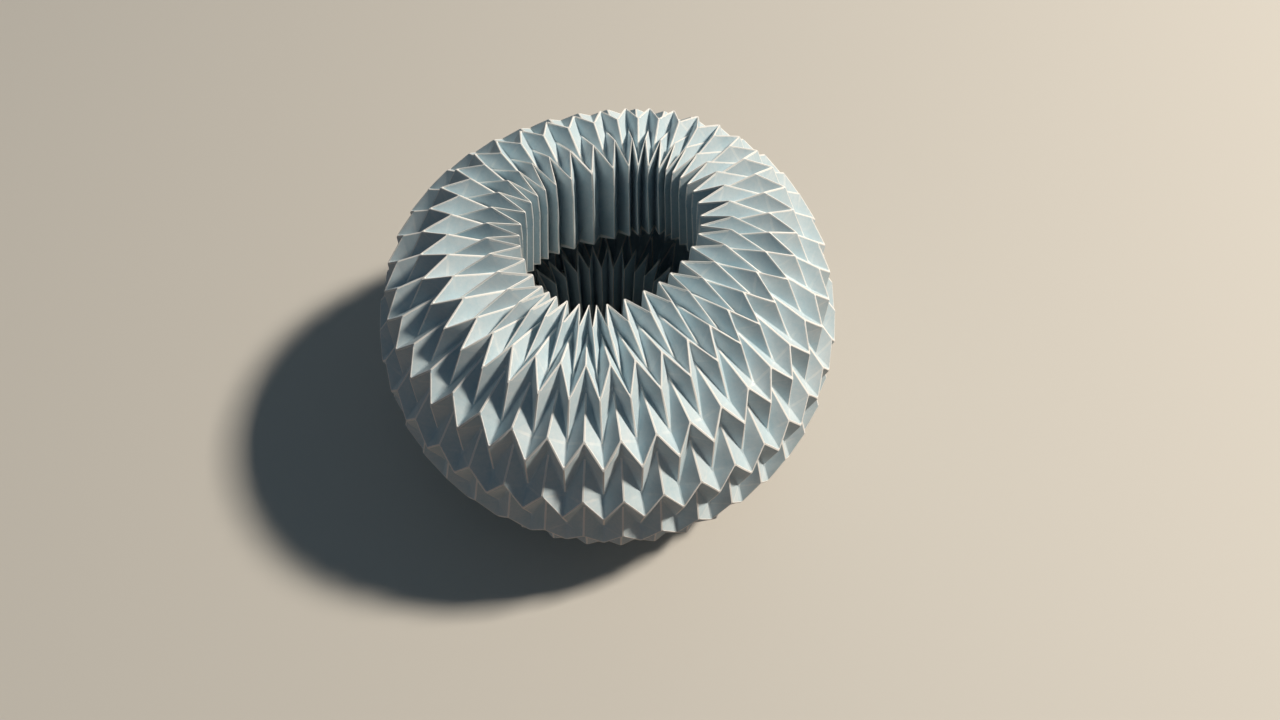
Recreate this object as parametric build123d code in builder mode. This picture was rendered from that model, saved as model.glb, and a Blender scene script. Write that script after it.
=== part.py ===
"""Origami magic ball: one long sheet of paper, creased all over, pleated and glued into a ring.

The long creases run straight up the sheet. Each one keeps to a half plane through the axis,
and the two kinds alternate all the way round: inner creases dip towards the axis at the rim,
outer creases stand out behind them. Zigzag ridges and zigzag grooves cross them by turns.
The sheet is ruled in square cells and paper does not stretch, so the radius and the height of
every crossing follow from the ruled lengths and from the few sizes below.
The lower half of the ball is the upper half turned over.
"""

import os
from math import cos, hypot, pi, sin

import numpy as np
from build123d import *

# Driving dimensions in millimetres, and the counts of pleats around and of ridges from rim to rim
cell = 7.5
pleats = 40
ridges = 8
rim_radius = 27.1
belly_radius = 76.5
belly_drop = 45.6
collar_gap = 16.0
collar_flare = 2.0
paper_thickness = 0.2

# The outer creases of a collar hang lower than the inner ones, and the collars stop short of
# each other by the gap
collar_lag = 0.4 * cell
collar_depth = belly_drop - collar_gap / 2 - collar_lag

# Turn between two neighbouring long creases, and the rows of the pattern in the upper half
turn_step = pi / pleats
half_rows = ridges // 2

# The outer points of the ridges lie on a quarter ring, flattened, from the rim to the belly
shoulder_radius = rim_radius + 1.3 * cell
shoulder_rise = 0.5 * cell
roundness = 2.2
sweep = np.linspace(0.0, pi / 2, 400)
guide_r = shoulder_radius + (belly_radius - shoulder_radius) * np.sin(sweep) ** (2 / roundness)
guide_z = (belly_drop + shoulder_rise) * np.cos(sweep) ** (2 / roundness) - belly_drop
guide_run = np.concatenate([[0.0], np.cumsum(np.hypot(np.diff(guide_r), np.diff(guide_z)))])

# The four crossings of a row: an inner crease meets a ridge and then a groove, and so does an
# outer crease, a little higher on the sheet. Heights on the flat sheet are in cells from the
# rim, and each crossing starts this many cells under the guide.
row_cells = 3
crossing_level = {"inner ridge": 0, "outer ridge": 1, "inner groove": 1, "outer groove": 3}
start_depth = {"inner ridge": 0.45, "outer ridge": 0.0, "inner groove": 1.0, "outer groove": 0.7}
middle_level = (row_cells * ridges - 2) / 2

# Turned over, the sheet shows the same pattern with inner and outer creases exchanged
turned_over = {
    "inner ridge": "outer ridge",
    "outer ridge": "inner ridge",
    "inner groove": "outer groove",
    "outer groove": "inner groove",
}

# How far a crease may be off its ruled length, how far a ridge may leave the guide and how far
# the rim may leave its own radius and height when the fold settles
length_slack = 0.02
guide_slack = 0.15 * cell
rim_slack = 0.03 * cell


def guide_direction(i):
    """Direction of the guide at one of its points."""
    run = np.array([guide_r[i + 1] - guide_r[i - 1], guide_z[i + 1] - guide_z[i - 1]])
    return run / np.linalg.norm(run)


def starting_point(name, row):
    """First guess of a crossing: its share of the way along the guide, then down into the fold."""
    level = row_cells * row + crossing_level[name]
    along = (level - 1) / (middle_level - 1) * guide_run[-1]
    i = int(np.clip(np.searchsorted(guide_run, along), 1, len(sweep) - 2))
    direction = guide_direction(i)
    inward = np.array([direction[1], -direction[0]])
    on_guide = np.array([np.interp(along, guide_run, guide_r), np.interp(along, guide_run, guide_z)])
    return on_guide + min(along, 0.0) * direction + start_depth[name] * cell * inward


# The crossings of the upper half. The last outer groove point is a mirror image of an inner one.
crossings = [(name, row) for row in range(half_rows) for name in crossing_level][:-1]
place_of = {crossing: i for i, crossing in enumerate(crossings)}


def locate(points, name, row):
    """Radius and height of a crossing. One in the lower half comes from its mirror image."""
    if (name, row) in place_of:
        return points[place_of[name, row]]
    mirrored_row = ridges - 1 - row if name.endswith("ridge") else ridges - 2 - row
    r, z = points[place_of[turned_over[name], mirrored_row]]
    return np.array([r, -2 * belly_drop - z])


# The ruled pieces of crease in a row: both ends, long creases crossed and cells climbed
crease_pieces = []
for row in range(half_rows):
    inner_ridge = ("inner ridge", row)
    outer_ridge = ("outer ridge", row)
    inner_groove = ("inner groove", row)
    outer_groove = ("outer groove", row)
    next_inner_ridge = ("inner ridge", row + 1)
    next_outer_ridge = ("outer ridge", row + 1)
    crease_pieces.append((inner_ridge, outer_ridge, 1, 1))
    crease_pieces.append((inner_ridge, inner_groove, 0, 1))
    crease_pieces.append((outer_ridge, inner_groove, 1, 0))
    crease_pieces.append((outer_ridge, outer_groove, 0, 2))
    crease_pieces.append((inner_groove, outer_groove, 1, 2))
    crease_pieces.append((inner_groove, next_inner_ridge, 0, 2))
    crease_pieces.append((outer_groove, next_inner_ridge, 1, 0))
    crease_pieces.append((outer_groove, next_outer_ridge, 0, 1))


def misfit(settings):
    """How much each crease is off its ruled length, and the ridges and the rim off their places."""
    points = settings.reshape(-1, 2)
    errors = []
    for first, second, across, climbed in crease_pieces:
        r1, z1 = locate(points, *first)
        r2, z2 = locate(points, *second)
        chord = 2 * (r1 * r2) ** 0.5 * sin(turn_step * across / 2)
        length = hypot(hypot(r1 - r2, z1 - z2), chord)
        errors.append((length / (cell * hypot(across, climbed)) - 1) / length_slack)
    for row in range(half_rows):
        r, z = locate(points, "outer ridge", row)
        i = int(np.clip(np.argmin(np.hypot(guide_r - r, guide_z - z)), 1, len(sweep) - 2))
        direction = guide_direction(i)
        errors.append(((r - guide_r[i]) * direction[1] - (z - guide_z[i]) * direction[0]) / guide_slack)
    r, z = locate(points, "inner ridge", 0)
    errors.append((r - rim_radius) / rim_slack)
    errors.append(z / rim_slack)
    return np.array(errors)


def settle(settings):
    """Move the crossings by damped least squares until the creases keep their lengths."""
    nudge = 1e-6
    damping = 0.01
    error = misfit(settings)
    for attempt in range(40):
        slopes = [(misfit(settings + nudge * side) - error) / nudge for side in np.eye(len(settings))]
        slope = np.array(slopes).T
        move = np.linalg.solve(slope.T @ slope + damping * np.eye(len(settings)), -slope.T @ error)
        new_error = misfit(settings + move)
        if new_error @ new_error < error @ error:
            settings = settings + move
            error = new_error
            damping = damping / 4
        else:
            damping = damping * 4
    return settings.reshape(-1, 2)


folded = settle(np.concatenate([starting_point(name, row) for name, row in crossings]))


def outer_collar_radius(inner_radius):
    """Radius of an outer crease where the collar's panels, one cell wide, lie level."""
    half_pleat = inner_radius * sin(turn_step)
    return inner_radius * cos(turn_step) + max(cell**2 - half_pleat**2, 0.0) ** 0.5


# The collar hangs down inside the rim and opens a little towards its raw edge
collar_top = locate(folded, "inner ridge", 0)[0]
collar_end = collar_top + collar_flare

# Each long crease as radius and height, from the raw edge of the upper collar, over the rim and
# down to the lower rim
inner_crease = [(collar_end, -collar_depth), (collar_top, -cell)]
outer_crease = [
    (outer_collar_radius(collar_end), -collar_depth - collar_lag),
    (outer_collar_radius(collar_top), -cell - collar_lag / 2),
]
for row in range(ridges):
    inner_crease.append(tuple(locate(folded, "inner ridge", row)))
    outer_crease.append(tuple(locate(folded, "outer ridge", row)))
    if row < ridges - 1:
        inner_crease.append(tuple(locate(folded, "inner groove", row)))
        outer_crease.append(tuple(locate(folded, "outer groove", row)))

# The lower collar is the upper one turned over, so it ends the other kind of crease
lower_inner = [(r, -2 * belly_drop - z) for r, z in outer_crease[1::-1]]
lower_outer = [(r, -2 * belly_drop - z) for r, z in inner_crease[1::-1]]
inner_crease += lower_inner
outer_crease += lower_outer
along_count = len(inner_crease)
around_count = 2 * pleats

# Every crossing in space, one long crease after another
places = []
for turn in range(around_count):
    for r, z in outer_crease if turn % 2 else inner_crease:
        places.append((r * cos(turn_step * turn), r * sin(turn_step * turn), z))
middle_places = np.array(places)


def crossing_at(turn, i):
    """Number of the i-th crossing of a long crease."""
    return (turn % around_count) * along_count + i


# The panels of the sheet as triangles, turned so that they face out of the ball
panels = []
for turn in range(around_count):
    for i in range(along_count - 1):
        left = crossing_at(turn, i)
        right = crossing_at(turn + 1, i)
        if turn % 2 == 0:
            panels.append((left, left + 1, right))
            panels.append((left + 1, right + 1, right))
        else:
            panels.append((left, right + 1, right))
            panels.append((left, left + 1, right + 1))
panels = np.array(panels)

# The sheet's two skins: each crossing moves out and in so that every panel that meets there
# keeps half the thickness on both sides
first_edges = middle_places[panels[:, 1]] - middle_places[panels[:, 0]]
second_edges = middle_places[panels[:, 2]] - middle_places[panels[:, 0]]
facings = np.cross(first_edges, second_edges)
facings = facings / np.linalg.norm(facings, axis=1)[:, None]
facing_products = np.zeros((len(middle_places), 3, 3))
facing_sums = np.zeros((len(middle_places), 3))
for panel_corner in range(3):
    np.add.at(facing_products, panels[:, panel_corner], facings[:, :, None] * facings[:, None, :])
    np.add.at(facing_sums, panels[:, panel_corner], facings)
skin_shift = np.einsum("nij,nj->ni", np.linalg.pinv(facing_products, rcond=0.001), facing_sums)
outer_skin = middle_places + skin_shift * paper_thickness / 2
inner_skin = middle_places - skin_shift * paper_thickness / 2

# The ball stands on the lower rim, with the origin on the axis at the height of the floor
floor_height = min(outer_skin[:, 2].min(), inner_skin[:, 2].min())
lift = np.array([0.0, 0.0, -floor_height])
outer_skin = outer_skin + lift
inner_skin = inner_skin + lift

# Outlines of all faces: both skins, and the cut of the paper along the raw edge of each collar
outlines = []
for a, b, c in panels:
    outlines.append((outer_skin[a], outer_skin[b], outer_skin[c]))
    outlines.append((inner_skin[a], inner_skin[c], inner_skin[b]))
for turn in range(around_count):
    upper_edge = (crossing_at(turn, 0), crossing_at(turn + 1, 0))
    lower_edge = (crossing_at(turn + 1, along_count - 1), crossing_at(turn, along_count - 1))
    for start, end in (upper_edge, lower_edge):
        outlines.append((outer_skin[start], outer_skin[end], inner_skin[end]))
        outlines.append((outer_skin[start], inner_skin[end], inner_skin[start]))

faces = []
for outline in outlines:
    faces.append(Face(Wire.make_polygon([Vector(*point) for point in outline], close=True)))

with BuildPart() as folded_sheet:
    add(Solid(Shell(faces)))
folded_sheet.part.label = "folded_sheet"

os.makedirs("parts", exist_ok=True)
export_step(folded_sheet.part, "parts/folded_sheet.step")
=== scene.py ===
# %% [markdown]
# The origami magic ball is one long strip of pale blue paper, creased all over, pleated and glued
# into a ring. Its frame is the CAD model, which has every fold in the right place.

# %% Load the frame
import math

import bpy
import numpy as np
from mathutils import Euler, Matrix


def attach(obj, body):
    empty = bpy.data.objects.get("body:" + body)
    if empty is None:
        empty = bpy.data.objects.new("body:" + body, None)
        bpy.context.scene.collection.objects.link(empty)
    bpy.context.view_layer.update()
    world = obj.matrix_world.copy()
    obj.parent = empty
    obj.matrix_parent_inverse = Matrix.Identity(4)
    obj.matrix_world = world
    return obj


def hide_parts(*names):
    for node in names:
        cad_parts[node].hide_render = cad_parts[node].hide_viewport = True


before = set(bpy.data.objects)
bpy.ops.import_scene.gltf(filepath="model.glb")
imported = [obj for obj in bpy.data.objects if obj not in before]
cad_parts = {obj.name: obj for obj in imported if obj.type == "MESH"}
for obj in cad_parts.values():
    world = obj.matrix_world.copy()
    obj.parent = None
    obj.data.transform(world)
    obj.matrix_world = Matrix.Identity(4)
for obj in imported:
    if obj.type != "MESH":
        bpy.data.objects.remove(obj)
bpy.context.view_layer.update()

# %% [markdown]
# A fresh scene has no camera or lamps. The render keeps plain colours, so the view transform is the
# standard one. An operator acts on all that is selected, so a small helper deselects the rest.

# %% Plain colours and a clean selection
scene = bpy.context.scene
scene.view_settings.view_transform = "Standard"


def select_only(thing):
    """Leave one object selected and active."""
    bpy.ops.object.select_all(action="DESELECT")
    thing.select_set(True)
    bpy.context.view_layer.objects.active = thing


print("objects in the frame:", sorted(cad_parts))

# %% [markdown]
# The frame's own sheet already has every fold, so the paper starts as a copy of it. The copy comes
# as loose triangles, and merging them by distance gives one closed skin, 0.2 mm thick, whose folds
# can then be followed from edge to edge.

# %% Copy the sheet and merge its triangles
merging_distance = 0.00001
cad_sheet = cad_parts["folded_sheet"]
paper = bpy.data.objects.new("pleated_paper", cad_sheet.data.copy())
scene.collection.objects.link(paper)
paper.data.materials.clear()
select_only(paper)
bpy.ops.mesh.customdata_custom_splitnormals_clear()
bpy.ops.object.mode_set(mode="EDIT")
bpy.ops.mesh.select_all(action="SELECT")
bpy.ops.mesh.remove_doubles(threshold=merging_distance)
bpy.ops.object.mode_set(mode="OBJECT")
print("corners:", len(paper.data.vertices), "triangles:", len(paper.data.polygons))

# %% [markdown]
# Every corner of the copy lies on one of 80 long creases, which run from one raw edge to the other.
# Each of them has 19 crossings with the folds around the ball. The raw edges are steps 0 and 18,
# the rims are steps 2 and 16 with the collars outside them, and in between the even steps are
# ridges and the odd ones grooves. The long crease comes from the corner's direction from the axis,
# and the step by walking from edge to edge.

# %% Number the crossings of the folds
long_creases = 80
steps = 19
upper_rim = 2
lower_rim = steps - 3
longest_rung = 0.003
turn_step = 2 * math.pi / long_creases
corner_place = np.array([v.co[:] for v in paper.data.vertices])
corner_turn = np.arctan2(corner_place[:, 1], corner_place[:, 0]) / turn_step
corner_turn = np.round(corner_turn).astype(int) % long_creases
same_crease = [[] for _ in corner_place]
for edge in paper.data.edges:
    first, second = edge.vertices
    if corner_turn[first] == corner_turn[second]:
        same_crease[first].append(second)
        same_crease[second].append(first)


def walk(turn):
    """Corners of one long crease from the upper raw edge: on the outer skin, and on the inner."""
    corners = np.flatnonzero(corner_turn == turn)
    middle_height = corner_place[corners, 2].mean()
    rungs = []
    for first in corners:
        for second in same_crease[first]:
            gap = np.linalg.norm(corner_place[first] - corner_place[second])
            if gap < longest_rung and corner_place[first, 2] > middle_height:
                rungs.append((first, second))
    start, other = min(rungs, key=lambda rung: math.hypot(*corner_place[rung[0], :2]))
    path = [other, start]
    while len(path) < len(corners) + 1:
        path.append(next(n for n in same_crease[path[-1]] if n != path[-2]))
    return path[1:steps + 1], path[steps + 1:][::-1]


walks = [walk(turn) for turn in range(long_creases)]
outer_corner = np.array([outer for outer, inner in walks])
inner_corner = np.array([inner for outer, inner in walks])
middle = (corner_place[outer_corner] + corner_place[inner_corner]) / 2
raw_edge = corner_place[outer_corner[:, 0]] - corner_place[inner_corner[:, 0]]
raw_edge_width = np.linalg.norm(raw_edge, axis=1).mean()
print("crossings:", middle.shape, "raw edge in mm:", round(1000 * raw_edge_width, 3))

# %% [markdown]
# A folded sheet is never even. On the real one the upper hole is a little oval, its pleats crowd
# together at the back right and at the front and spread in between, and the first ridge below
# follows more weakly. These unevennesses were read off every 15 degrees round the rim and
# every 30 below it, clockwise from the back. A smooth closed curve joins each row of them.

# %% How the real ball is pushed out of round
rim_stretch = [0.96, 1.05, 1.14, 1.135, 1.145, 1.105, 1.02, 0.96, 0.875, 0.88, 0.915, 0.99]
rim_stretch += [1.045, 1.07, 1.09, 1.06, 1.02, 1.0, 0.99, 0.99, 0.975, 0.925, 0.85, 0.855]
rim_push = [12.7, 6.8, 2.4, -3.7, -8.0, -9.4, -8.0, -10.5, -5.3, 0.6, 5.2, 11.5]
rim_push += [8.4, 1.6, -0.9, -6.2, -7.3, -1.7, -1.6, 0.8, 1.0, -1.2, 1.2, 11.2]
shoulder_stretch = [0.98, 1.03, 1.04, 1.025, 0.94, 0.90, 0.93, 0.98, 1.0, 1.0, 0.98, 0.95]
shoulder_push = [4.0, 0.0, -4.5, -5.2, -2.8, -1.2, 0.4, -0.8, -0.5, 0.5, 1.2, 2.5]
flank_stretch = [1.01, 1.02, 1.0, 0.98, 0.97, 0.98, 1.015, 1.01, 1.0, 0.99, 0.98, 0.99]
flank_push = [0.0, 0.0, 0.0, 0.0, -0.6, -1.2, -1.4, -0.8, 0.0, 0.0, 0.0, 0.0]
low_stretch = [1.04, 1.0, 0.96, 0.95, 1.0, 1.05, 1.03, 0.98, 0.95, 0.98, 1.02, 1.04]
low_push = [1.0, -3.0, -4.0, 0.0, 4.0, 3.0, -1.0, -3.0, -1.0, 2.0, 3.0, 2.0]
photo_heading = math.radians(2.4)


def smooth_round(samples, clockwise):
    """The smooth closed curve through samples spaced evenly round the circle."""
    waves = np.fft.rfft(samples) / len(samples)
    value = np.full(clockwise.shape, waves[0].real)
    for order in range(1, len(samples) // 2):
        value += 2 * (waves[order] * np.exp(1j * order * clockwise)).real
    return value


clockwise = math.pi / 2 - np.arange(long_creases) * turn_step
seen_from = clockwise - photo_heading
print("pleats pushed by up to", round(max(smooth_round(rim_push, seen_from)), 1), "degrees")

# %% [markdown]
# Each row lies at a step of the long creases, and between the rows the unevenness is shared out.
# The belly stays even. The hidden lower rim is given a milder unevenness of its own. Every crossing
# also gets its own small slip, because no crease is ruled and folded exactly.

# %% Push the crossings
row_steps = [upper_rim, 4.5, 6.5, 10, 12, lower_rim]


def uneven(rim_row, shoulder_row, flank_row, low_row, belly_value):
    """One value for every crossing, from rows of samples at some of the steps."""
    belly_row = [belly_value]
    rows = [rim_row, shoulder_row, flank_row, belly_row, belly_row, low_row]
    curves = np.array([smooth_round(row, seen_from) for row in rows])
    return np.array([np.interp(range(steps), row_steps, along) for along in curves.T])


stretch = uneven(rim_stretch, shoulder_stretch, flank_stretch, low_stretch, 1.0)
push = uneven(rim_push, shoulder_push, flank_push, low_push, 0.0)
radius = np.hypot(middle[..., 0], middle[..., 1]) * stretch
angle = clockwise[:, None] + np.radians(push)
goal = np.stack([radius * np.sin(angle), radius * np.cos(angle), middle[..., 2]], axis=2)
chance = np.random.default_rng(7)
slip = 0.00032
crossing = goal + chance.normal(0, slip, goal.shape)
print("largest move in mm:", round(1000 * np.abs(crossing - middle).max(), 1))

# %% [markdown]
# Paper bends but does not stretch. So the pushed crossings are settled: every piece of crease is
# moved back to the length it has in the frame, a little at a time and all together, while the
# crossings are drawn weakly to where they were pushed. This is the step that makes the pleats open
# and close like real ones.

# %% Settle the sheet to its own lengths
def crossing_number(turn, step):
    """Number of a crossing, counted crease by crease."""
    return (turn % long_creases) * steps + step


crease_pieces = []
panels = []
for turn in range(long_creases):
    for step in range(steps):
        here = crossing_number(turn, step)
        beside = crossing_number(turn + 1, step)
        crease_pieces.append((here, beside))
        if step == steps - 1:
            continue
        crease_pieces.append((here, here + 1))
        if turn % 2 == 0:
            crease_pieces.append((here + 1, beside))
            panels += [(here, here + 1, beside), (here + 1, beside + 1, beside)]
        else:
            crease_pieces.append((here, beside + 1))
            panels += [(here, beside + 1, beside), (here, here + 1, beside + 1)]
crease_pieces = np.array(crease_pieces)
panels = np.array(panels)
print("pieces of crease:", len(crease_pieces), "panels:", len(panels))

# %% Pull and release
rounds = 600
drawn_rounds = 500
pull_share = 1.6
draw_share = 0.01
even = middle.reshape(-1, 3)
place = crossing.reshape(-1, 3).copy()
goal = goal.reshape(-1, 3)
first, second = crease_pieces.T
ruled = np.linalg.norm(even[first] - even[second], axis=1)
meeting = np.bincount(crease_pieces.ravel(), minlength=len(place))[:, None]
lowest = even[:, 2].min()
for round_number in range(rounds):
    run = place[second] - place[first]
    length = np.linalg.norm(run, axis=1)
    pull = 0.5 * ((length - ruled) / length)[:, None] * run
    move = np.zeros_like(place)
    for axis in range(3):
        given = np.bincount(first, pull[:, axis], len(place))
        taken = np.bincount(second, pull[:, axis], len(place))
        move[:, axis] = given - taken
    place += pull_share * move / meeting
    if round_number < drawn_rounds:
        place += draw_share * (goal - place)
    place[:, 2] = np.maximum(place[:, 2], lowest)
run = np.linalg.norm(place[second] - place[first], axis=1)
print("crease lengths off by", round(100 * np.abs(run / ruled - 1).mean(), 2), "percent on average")

# %% [markdown]
# The settled points lie in the middle of the paper. Each one moves out and in, so that every panel
# that meets there keeps half of the thickness on both sides. At very sharp folds that would shift
# the corner far, so the shift has a limit. The two skins go back to their corners in the mesh.

# %% Give the settled sheet its thickness
paper_thickness = 0.0002
longest_shift = 4
first_corner, second_corner, third_corner = panels.T
first_edge = place[second_corner] - place[first_corner]
second_edge = place[third_corner] - place[first_corner]
facing = np.cross(first_edge, second_edge)
facing /= np.linalg.norm(facing, axis=1)[:, None]
facing_products = np.zeros((len(place), 3, 3))
facing_sums = np.zeros((len(place), 3))
for corner in range(3):
    np.add.at(facing_products, panels[:, corner], facing[:, :, None] * facing[:, None, :])
    np.add.at(facing_sums, panels[:, corner], facing)
shift = np.einsum("nij,nj->ni", np.linalg.pinv(facing_products, rcond=0.001), facing_sums)
shift /= np.maximum(np.linalg.norm(shift, axis=1) / longest_shift, 1)[:, None]
corner_place[outer_corner.ravel()] = place + shift * paper_thickness / 2
corner_place[inner_corner.ravel()] = place - shift * paper_thickness / 2
paper.data.vertices.foreach_set("co", corner_place.ravel())
paper.data.update()
print("largest skin shift:", round(np.linalg.norm(shift, axis=1).max(), 2), "half thicknesses")

# %% [markdown]
# The finish follows the folds, so the mesh carries what the paper knows. A UV map holds the place
# on the flat sheet in metres. In every panel three distances run straight from nought at a fold:
# from the fold across, from the slanting pre-crease and from the long crease.
# They are kept at the corners of the faces, and a subdivision later divides them evenly. The
# levels count cells along the flat sheet, from the upper rim on. The outer creases have the levels
# of the inner ones, turned over. The collar's levels are negative, so the map starts before them.

# %% Lay out the flat sheet
cell = 0.0075
rows_up = [0, 1, 3, 4, 6, 7, 9, 10, 12, 13, 15, 16, 18, 19, 21]
inner_levels = np.array([-4.6, -1.0] + rows_up + [22.6, 26.4])
rim_to_rim = 22
outer_levels = rim_to_rim - inner_levels[::-1]
map_start = 5
sheet_width = cell * (outer_levels[-1] - inner_levels[0])
of_corner = np.full((len(corner_place), 3), -1)
for turn in range(long_creases):
    for step in range(steps):
        of_corner[outer_corner[turn, step]] = (turn, step, 0)
        of_corner[inner_corner[turn, step]] = (turn, step, 1)
print("sheet in mm:", 1000 * cell * long_creases, "by", round(1000 * sheet_width, 1))

# %% Make room for what the paper knows
paper.data.uv_layers.new(name="flat_sheet")
paper.data.attributes.new("fold_distance", "FLOAT_VECTOR", "CORNER")
paper.data.attributes.new("fold_wear", "FLOAT_VECTOR", "FACE")
paper.data.attributes.new("panel_number", "INT", "FACE")
paper.data.attributes.new("paper_side", "INT", "FACE")
sheet_map = paper.data.uv_layers["flat_sheet"]
fold_distance = paper.data.attributes["fold_distance"]
fold_wear = paper.data.attributes["fold_wear"]
panel_number = paper.data.attributes["panel_number"]
paper_side = paper.data.attributes["paper_side"]
print("attributes:", len(paper.data.attributes))

# %% [markdown]
# Every fold gets a wear, which is how wide its white band is. Folds that stand out on a skin are
# worn most, those at the rims above all, and folds that dip are worn least. A wear above any fold's
# own marks faces that are white all over, such as the cut edges of the sheet.

# %% Say how worn each fold is
dip_wear = 0.3
raw_edge_wear = 0.7
rim_wear = 1.5
slanting_wear = 0.6
white_all_over = (3, 0, 0)


def wear_across(step, from_rim, skin):
    """Wear of the folds that run around the ball, a little less with every step from the rim."""
    if step in (0, steps - 1):
        return raw_edge_wear
    if step in (1, steps - 2):
        return 0.0  # the pleats of a collar run straight on, with no fold across them
    if step in (upper_rim, lower_rim):
        return rim_wear if skin == 0 else dip_wear
    stands_out = step % 2 == 0
    return max(0.7, 1.15 - 0.07 * from_rim) if stands_out == (skin == 0) else dip_wear


def wear_along(crease, step, from_rim, skin):
    """Wear of a piece of a long crease, a little less with every step from the rim."""
    if step < upper_rim:
        stands_out = crease % 2 == 0
    elif step >= lower_rim:
        stands_out = crease % 2 == 1
    else:
        stands_out = (crease + step) % 2 == 1
    return max(0.65, 1.05 - 0.1 * from_rim) if stands_out == (skin == 0) else dip_wear


def wear_of(kind, crease, step, skin):
    """Wear of one fold on the outer skin, 0, or the inner one, 1."""
    from_rim = min(abs(step - upper_rim), abs(step - lower_rim))
    if kind == "across":
        return wear_across(step, from_rim, skin)
    if kind == "long":
        return wear_along(crease, step, from_rim, skin)
    return slanting_wear if upper_rim <= step < lower_rim else 0.0


print("widest wear of a fold:", rim_wear)

# %% Write the distances from the folds
numbers_per_crease = 100
for face in paper.data.polygons:
    loops = list(face.loop_indices)
    corners = [paper.data.loops[l].vertex_index for l in loops]
    facts = of_corner[corners]
    turns = facts[:, 0].copy()
    if turns.max() - turns.min() > 1:
        turns[turns == 0] = long_creases
    level = np.where(turns % 2 == 0, inner_levels[facts[:, 1]], outer_levels[facts[:, 1]])
    for l, turn, up in zip(loops, turns, level):
        sheet_map.uv[l].vector = (turn * cell, (up + map_start) * cell)
    if facts[:, 2].max() != facts[:, 2].min():
        panel_number.data[face.index].value = -1
        fold_wear.data[face.index].vector = white_all_over
        continue
    skin = facts[0, 2]
    paper_side.data[face.index].value = 1 if skin == 0 else -1
    points = corner_place[corners]
    twice_area = np.linalg.norm(np.cross(points[1] - points[0], points[2] - points[0]))
    distances = np.zeros((3, 3))
    wears = [0, 0, 0]
    for opposite in range(3):
        a, b = (opposite + 1) % 3, (opposite + 2) % 3
        if turns[a] == turns[b]:
            kind, channel = "long", 2
        elif facts[a, 1] == facts[b, 1]:
            kind, channel = "across", 0
        else:
            kind, channel = "slanting", 1
        step = min(facts[a, 1], facts[b, 1])
        wears[channel] = wear_of(kind, turns[a], step, skin)
        distances[opposite, channel] = twice_area / np.linalg.norm(points[b] - points[a])
    for corner in range(3):
        fold_distance.data[loops[corner]].vector = distances[corner]
    fold_wear.data[face.index].vector = wears
    low_turn = turns.min() % long_creases
    panel_number.data[face.index].value = int(low_turn * numbers_per_crease + facts[:, 1].sum())
print("faces with fold distances:", len(paper.data.polygons))

# %% [markdown]
# A fold in paper is never a knife edge: it turns over a narrow round back, which catches the light.
# A bevel of a third of a millimetre on every fold gives it. The cut edges stay sharp, so their
# faces are picked first and the choice is turned over. Where six folds meet, the bevel leaves one
# small face. On the ridges, and on the pleats of the collars, that tip is worn white.

# %% Round the folds
fold_rounding = 0.00032
select_only(paper)
bpy.ops.object.mode_set(mode="EDIT")
bpy.ops.mesh.select_mode(type="FACE")
bpy.ops.mesh.select_all(action="DESELECT")
bpy.ops.object.mode_set(mode="OBJECT")
for face, number in zip(paper.data.polygons, paper.data.attributes["panel_number"].data):
    face.select = number.value < 0
bpy.ops.object.mode_set(mode="EDIT")
bpy.ops.mesh.select_mode(type="EDGE")
bpy.ops.mesh.select_all(action="INVERT")
bpy.ops.mesh.bevel(offset=fold_rounding, offset_type="OFFSET", segments=1,
                   clamp_overlap=False, loop_slide=False)
bpy.ops.object.mode_set(mode="OBJECT")
print("faces with rounded folds:", len(paper.data.polygons))

# %% Wear the tips white
fold_wear = paper.data.attributes["fold_wear"]
paper_side = paper.data.attributes["paper_side"]
tips = 0
for face in paper.data.polygons:
    if len(face.vertices) < 5 or paper_side.data[face.index].value < 1:
        continue
    nearest = np.linalg.norm(place - np.array(face.center), axis=1).argmin()
    turn, step = divmod(nearest, steps)
    on_ridge = step % 2 == 0
    on_collar_pleat = (turn % 2, step) in ((0, 1), (1, steps - 2))
    if on_ridge or on_collar_pleat:
        fold_wear.data[face.index].vector = white_all_over
        tips += 1
print("worn tips:", tips)

# %% [markdown]
# Paper panels are not flat plates: each one bows a little between its stiff folds. Every panel is
# split into nine triangles, which leaves its outline alone, and the new points inside it are then
# pushed out or in, most in its middle and hardly at all beside a fold. The product of a point's
# three distances says how far, since it is nought on all three folds.

# %% Split the panels
smallest_panel = 0.000005
is_panel = [face.area > smallest_panel for face in paper.data.polygons]
paper.data.attributes.new("bows", "INT", "FACE")
paper.data.attributes["bows"].data.foreach_set("value", np.array(is_panel, dtype=np.int32))
bpy.ops.object.mode_set(mode="EDIT")
bpy.ops.mesh.select_mode(type="FACE")
bpy.ops.mesh.select_all(action="DESELECT")
bpy.ops.object.mode_set(mode="OBJECT")
paper.data.polygons.foreach_set("select", is_panel)
bpy.ops.object.mode_set(mode="EDIT")
bpy.ops.mesh.subdivide(number_cuts=2)
bpy.ops.object.mode_set(mode="OBJECT")
mesh = paper.data
print("triangles:", sum(len(face.vertices) - 2 for face in mesh.polygons))


# %% Read the faces and their corners
def face_values(name):
    """One whole number for every face."""
    values = np.empty(len(mesh.polygons), np.int32)
    mesh.attributes[name].data.foreach_get("value", values)
    return values


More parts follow.
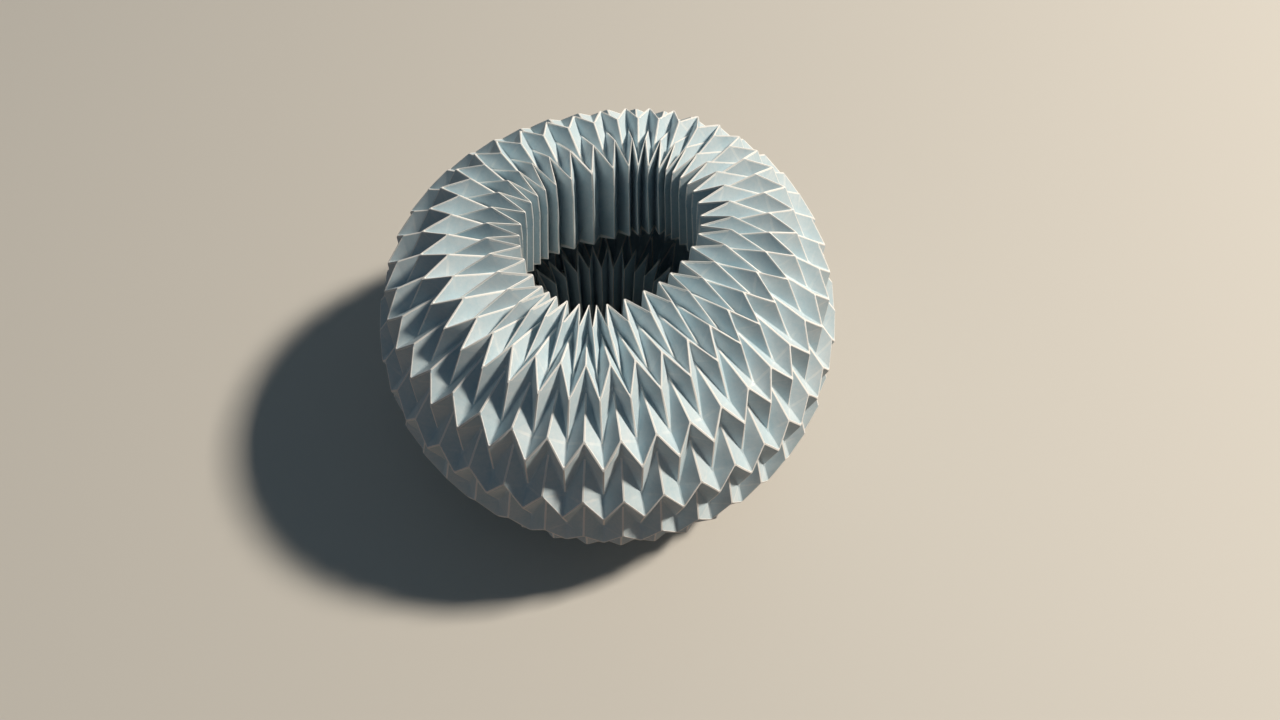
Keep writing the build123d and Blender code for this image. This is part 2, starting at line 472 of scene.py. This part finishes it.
corner_counts = [len(face.vertices) for face in mesh.polygons]
face_of_loop = np.repeat(np.arange(len(mesh.polygons)), corner_counts)
vertex_of_loop = np.empty(len(mesh.loops), np.int32)
mesh.loops.foreach_get("vertex_index", vertex_of_loop)
distance = np.empty(len(mesh.loops) * 3, np.float32)
mesh.attributes["fold_distance"].data.foreach_get("vector", distance)
rise = distance.reshape(-1, 3).astype(float).prod(axis=1)
normal = np.array([face.normal for face in mesh.polygons])
number = face_values("panel_number")
side = face_values("paper_side")
print("corners of faces:", len(vertex_of_loop))

# %% Bow the panels
usual_bow = 0.00005
bow_spread = 0.00013
inside = (face_values("bows") == 1)[face_of_loop]
panel_top = np.zeros(number.max() + 1)
np.maximum.at(panel_top, number[face_of_loop][inside], rise[inside])
bow = chance.normal(usual_bow, bow_spread, number.max() + 1)
face_inside = face_of_loop[inside]
share = rise[inside] / panel_top[number[face_inside]]
outwards = side[:, None] * normal
points = np.empty(len(mesh.vertices) * 3)
mesh.vertices.foreach_get("co", points)
points = points.reshape(-1, 3)
push_out = (bow[number[face_inside]] * share)[:, None] * outwards[face_inside]
points[vertex_of_loop[inside]] += push_out
mesh.vertices.foreach_set("co", points.ravel())
mesh.update()
print("most bowed panel in mm:", round(1000 * np.abs(bow).max(), 2))

# %% [markdown]
# Inside a panel the shading is smooth, and at every fold it breaks. The angle between two faces
# tells them apart.

# %% Shade the panels
smooth_up_to = math.radians(16)
select_only(paper)
bpy.ops.object.shade_smooth_by_angle(angle=smooth_up_to)
print("paper shaded")

# %% [markdown]
# The strip was closed into a ring with a glued lap, one panel wide. It just wraps over one of the
# long creases at the back left, where its raw edge shows white inside the hole. The lap is made of
# the panels it covers: they are duplicated, lifted a hair and given a thickness of paper and glue.

# %% Pick the panels under the lap
lap_turn = 24
wrap_reach = 0.0012
lap_clearance = 0.0001
across_sheet = np.array([corner.vector.x for corner in mesh.uv_layers["flat_sheet"].uv])
starts = np.array([face.loop_start for face in mesh.polygons])
nearest = np.minimum.reduceat(across_sheet, starts)
furthest = np.maximum.reduceat(across_sheet, starts)
lap_start = lap_turn * cell - wrap_reach
lap_end = (lap_turn + 1) * cell - lap_clearance
under_lap = (nearest > lap_start) & (furthest < lap_end) & (side == 1)
bpy.ops.object.mode_set(mode="EDIT")
bpy.ops.mesh.select_all(action="DESELECT")
bpy.ops.object.mode_set(mode="OBJECT")
mesh.polygons.foreach_set("select", under_lap)
print("faces under the lap:", under_lap.sum())

# %% Make the lap
lap_lift = 0.00002
lap_thickness = 0.00025
bpy.ops.object.mode_set(mode="EDIT")
bpy.ops.mesh.duplicate()
bpy.ops.mesh.separate(type="SELECTED")
bpy.ops.object.mode_set(mode="OBJECT")
lap = next(thing for thing in bpy.context.selected_objects if thing != paper)
lap.name = "glued_lap"
select_only(lap)
bpy.ops.object.mode_set(mode="EDIT")
bpy.ops.mesh.select_all(action="SELECT")
bpy.ops.transform.shrink_fatten(value=lap_lift)
bpy.ops.object.mode_set(mode="OBJECT")
one_layer = len(lap.data.polygons)
layer = lap.modifiers.new("layer", "SOLIDIFY")
layer.thickness = lap_thickness
layer.offset = 1.0
bpy.ops.object.modifier_apply(modifier="layer")
cut_faces = lap.data.polygons[2 * one_layer:]
for face in cut_faces:
    lap.data.attributes["fold_wear"].data[face.index].vector = white_all_over
bpy.ops.object.shade_smooth_by_angle(angle=smooth_up_to)
print("faces of the lap:", len(lap.data.polygons), "of them cut edge:", len(cut_faces))

# %% [markdown]
# The paper is pale blue drawing paper, matt and slightly fibrous. Its blue is deep in places and
# faded in others. Along every fold that stands out the colour has rubbed off and the white core
# shows.

# %% Start the paper's material
blue_paper = bpy.data.materials.new("blue_paper")
blue_paper.use_nodes = True
tree = blue_paper.node_tree
tree.nodes.clear()


def add(kind, **settings):
    """A new shader node, with its plain settings."""
    node = tree.nodes.new(kind)
    for name, value in settings.items():
        setattr(node, name, value)
    return node


def wire(source, target):
    """Join two sockets."""
    tree.links.new(source, target)


def math_node(operation, a, b=None, c=None, clamp=False):
    """One sum of the material. Each input is a socket or a plain number."""
    node = add("ShaderNodeMath", operation=operation, use_clamp=clamp)
    for socket, value in zip(node.inputs, (a, b, c)):
        if value is None:
            continue
        if isinstance(value, (int, float)):
            socket.default_value = value
        else:
            wire(value, socket)
    return node.outputs[0]


surface = add("ShaderNodeBsdfPrincipled")
output = add("ShaderNodeOutputMaterial")
wire(surface.outputs["BSDF"], output.inputs["Surface"])
surface.inputs["Roughness"].default_value = 0.85
surface.inputs["Specular IOR Level"].default_value = 0.3
print("nodes so far:", len(tree.nodes))

# %% Fibres and clouds in the paper
flat_place = add("ShaderNodeUVMap", uv_map="flat_sheet")


def noise(scale, detail=3.0, roughness=0.55):
    """Noise on the flat sheet, with this many waves a metre."""
    node = add("ShaderNodeTexNoise")
    node.inputs["Scale"].default_value = scale
    node.inputs["Detail"].default_value = detail
    node.inputs["Roughness"].default_value = roughness
    wire(flat_place.outputs["UV"], node.inputs["Vector"])
    return node.outputs["Fac"]


clouds = noise(90.0)
grain = noise(700.0, 4.0, 0.7)
fibres = noise(2600.0, 2.0)
chips = noise(900.0, 2.0)
print("noise nodes: clouds, grain, fibres and chips")

# %% [markdown]
# The white band along a fold is as wide as the wear of that fold says. It ends where the distance
# from the fold passes half its width. The slanting pre-creases are worn only in places.

# %% Worn folds
narrowest_band = 0.00045
band_sharpness = 12000.0
patch_contrast = 1.4
patch_threshold = 0.6
distance_read = add("ShaderNodeAttribute", attribute_name="fold_distance")
wear_read = add("ShaderNodeAttribute", attribute_name="fold_wear")
distance_parts = add("ShaderNodeSeparateXYZ")
wear_parts = add("ShaderNodeSeparateXYZ")
wire(distance_read.outputs["Vector"], distance_parts.inputs[0])
wire(wear_read.outputs["Vector"], wear_parts.inputs[0])


def worn(channel, strength):
    """The worn band along one kind of fold. The chips make its edge uneven."""
    half_width = math_node("MULTIPLY_ADD", chips, narrowest_band, narrowest_band)
    half_width = math_node("MULTIPLY", half_width, wear_parts.outputs[channel])
    left_over = math_node("SUBTRACT", half_width, distance_parts.outputs[channel])
    band = math_node("MULTIPLY_ADD", left_over, band_sharpness, 0.5, clamp=True)
    return math_node("MULTIPLY", band, strength)


in_places = math_node("MULTIPLY_ADD", clouds, patch_contrast, -patch_threshold, clamp=True)
wear = math_node("MAXIMUM", worn(0, 1.0), worn(2, 1.0))
wear = math_node("MAXIMUM", wear, worn(1, in_places))
cut_edge = math_node("GREATER_THAN", wear_parts.outputs[0], white_all_over[0] - 0.5)
wear = math_node("MAXIMUM", wear, cut_edge, clamp=True)
print("wear is the most of three kinds of fold and the cut edge")

# %% Colour and bump
deep_blue = (0.43, 0.60, 0.68, 1)
faded_blue = (0.71, 0.76, 0.79, 1)
white_core = (0.92, 0.92, 0.90, 1)
grain_share = 0.9
tint = add("ShaderNodeMix", data_type="RGBA")
tint.inputs[6].default_value = deep_blue
tint.inputs[7].default_value = faded_blue
mottled = math_node("MULTIPLY_ADD", grain, grain_share, -grain_share / 2)
wire(math_node("ADD", clouds, mottled, clamp=True), tint.inputs[0])
rubbed = add("ShaderNodeMix", data_type="RGBA")
wire(wear, rubbed.inputs[0])
wire(tint.outputs[2], rubbed.inputs[6])
rubbed.inputs[7].default_value = white_core
wire(rubbed.outputs[2], surface.inputs["Base Color"])
bump = add("ShaderNodeBump")
bump.inputs["Strength"].default_value = 0.25
bump.inputs["Distance"].default_value = 0.0001
wire(fibres, bump.inputs["Height"])
wire(bump.outputs["Normal"], surface.inputs["Normal"])
paper.data.materials.append(blue_paper)
print("nodes in the paper:", len(tree.nodes))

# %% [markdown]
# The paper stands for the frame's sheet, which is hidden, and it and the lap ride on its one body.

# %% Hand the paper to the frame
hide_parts("folded_sheet")
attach(paper, "root")
lap.data.materials.clear()
lap.data.materials.append(blue_paper)
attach(lap, "root")
print("paper and lap ride on root")

# %% [markdown]
# The studio is a plain pale round floor, big enough to fill the view, under soft light. The floor
# in the photo is dark wood, which throws back only a little warm light. So this floor is pale only
# on the rays that show it to the camera, directly or in a reflection, and darker on all others.
# The Light Path node tells those rays apart.

# %% Tell the rays that show the surroundings
def seen_rays(tree):
    """1 on rays that show a surface to the camera, 0 on rays that only carry light."""
    light_path = tree.nodes.new("ShaderNodeLightPath")
    seen = light_path.outputs["Is Camera Ray"]
    for kind_of_ray in ("Is Glossy Ray", "Is Transmission Ray"):
        either = tree.nodes.new("ShaderNodeMath")
        either.operation = "MAXIMUM"
        tree.links.new(seen, either.inputs[0])
        tree.links.new(light_path.outputs[kind_of_ray], either.inputs[1])
        seen = either.outputs[0]
    return seen


def two_tones(tree, seen, carried, shown):
    """One colour for the light that a surface gives and another one for how it looks."""
    tone = tree.nodes.new("ShaderNodeMix")
    tone.data_type = "RGBA"
    tone.inputs[6].default_value = (*carried, 1)
    tone.inputs[7].default_value = (*shown, 1)
    tree.links.new(seen, tone.inputs[0])
    return tone.outputs[2]


print("helpers for the surroundings ready")

# %% Floor
floor_as_light = (0.22, 0.15, 0.10)
floor_as_seen = (0.60, 0.58, 0.54)
bpy.ops.mesh.primitive_circle_add(vertices=96, radius=1.9, fill_type="NGON", location=(0, 0, 0))
floor = bpy.context.object
floor.name = "floor"
floor_material = bpy.data.materials.new("pale_floor")
floor_material.use_nodes = True
floor_surface = floor_material.node_tree.nodes["Principled BSDF"]
floor_tree = floor_material.node_tree
floor_colour = two_tones(floor_tree, seen_rays(floor_tree), floor_as_light, floor_as_seen)
floor_tree.links.new(floor_colour, floor_surface.inputs["Base Color"])
floor_surface.inputs["Roughness"].default_value = 0.7
floor.data.materials.append(floor_material)
print("floor laid")

# %% [markdown]
# A strong warm lamp stands to the right, where the sun was, and a faint cool one in front at the
# left. The warm one is far and small, so that the folds throw crisp shadows.

# %% Lamps
ball_middle = np.array([0, 0, 0.05])


def soft_lamp(name, place, size, power, colour):
    """A square soft lamp that faces the ball."""
    bpy.ops.object.light_add(type="AREA", location=place)
    lamp = bpy.context.object
    lamp.name = name
    lamp.data.shape = "SQUARE"
    lamp.data.size = size
    lamp.data.energy = power
    lamp.data.color = colour
    across, ahead, up = ball_middle - np.array(place)
    tilt = math.atan2(math.hypot(across, ahead), -up)
    lamp.rotation_euler = (tilt, 0, math.atan2(-across, ahead))


soft_lamp("key_light", (1.43, 0.15, 1.71), 0.25, 58, (1.0, 0.90, 0.77))
soft_lamp("fill_light", (-0.6, -1.0, 1.0), 1.0, 0.3, (0.70, 0.87, 1.0))
print("lamps placed")

# %% [markdown]
# The world gives a weak even light, rather blue. Seen directly or in a reflection it is a pale
# backdrop, and that backdrop adds no light to the ball.

# %% Pale surroundings
world = bpy.data.worlds.new("studio")
scene.world = world
world.use_nodes = True
world_tree = world.node_tree
background = world_tree.nodes["Background"]
sky_as_light = (0.48, 0.76, 1.0)
sky_as_seen = (0.88, 0.94, 1.0)
strength_as_light = 0.07
more_where_seen = 0.7
seen = seen_rays(world_tree)
sky_colour = two_tones(world_tree, seen, sky_as_light, sky_as_seen)
world_tree.links.new(sky_colour, background.inputs["Color"])
brightness = world_tree.nodes.new("ShaderNodeMath")
brightness.operation = "MULTIPLY_ADD"
brightness.inputs[1].default_value = more_where_seen
brightness.inputs[2].default_value = strength_as_light
world_tree.links.new(seen, brightness.inputs[0])
world_tree.links.new(brightness.outputs[0], background.inputs["Strength"])
print("world nodes:", len(world_tree.nodes))

# %% [markdown]
# The camera stands where the photograph was taken: about 28 cm from the middle of the upper rim,
# looking steeply down. The rim isn't in the middle of the photo, so the camera is turned a little
# past it. The focal length was fitted in pixels of the photo, which is 1280 wide.

# %% Camera
rim_centre = np.array([0, 0, 0.0943])
distance_to_rim = 0.281
elevation = math.radians(49.575)
right_of_rim = math.radians(1.853)
below_rim = math.radians(7.91)
sensor_width = 36
focal_pixels = 928
photo_width = 1280
level_away = -math.cos(elevation) * np.array([math.sin(photo_heading), math.cos(photo_heading)])
away = np.array([*level_away, math.sin(elevation)])
camera_data = bpy.data.cameras.new("camera")
camera = bpy.data.objects.new("camera", camera_data)
scene.collection.objects.link(camera)
scene.camera = camera
camera.location = rim_centre + distance_to_rim * away
camera_data.sensor_width = sensor_width
camera_data.lens = sensor_width * focal_pixels / photo_width
camera_data.clip_start = 0.01
camera_data.clip_end = 20
facing_rim = Euler((math.pi / 2 - elevation, 0, -photo_heading)).to_matrix()
turned_right = Matrix.Rotation(-right_of_rim, 3, "Y")
turned_down = Matrix.Rotation(-below_rim, 3, "X")
camera.rotation_euler = (facing_rim @ turned_right @ turned_down).to_euler()
print("camera height in mm:", round(1000 * camera.location[2]))
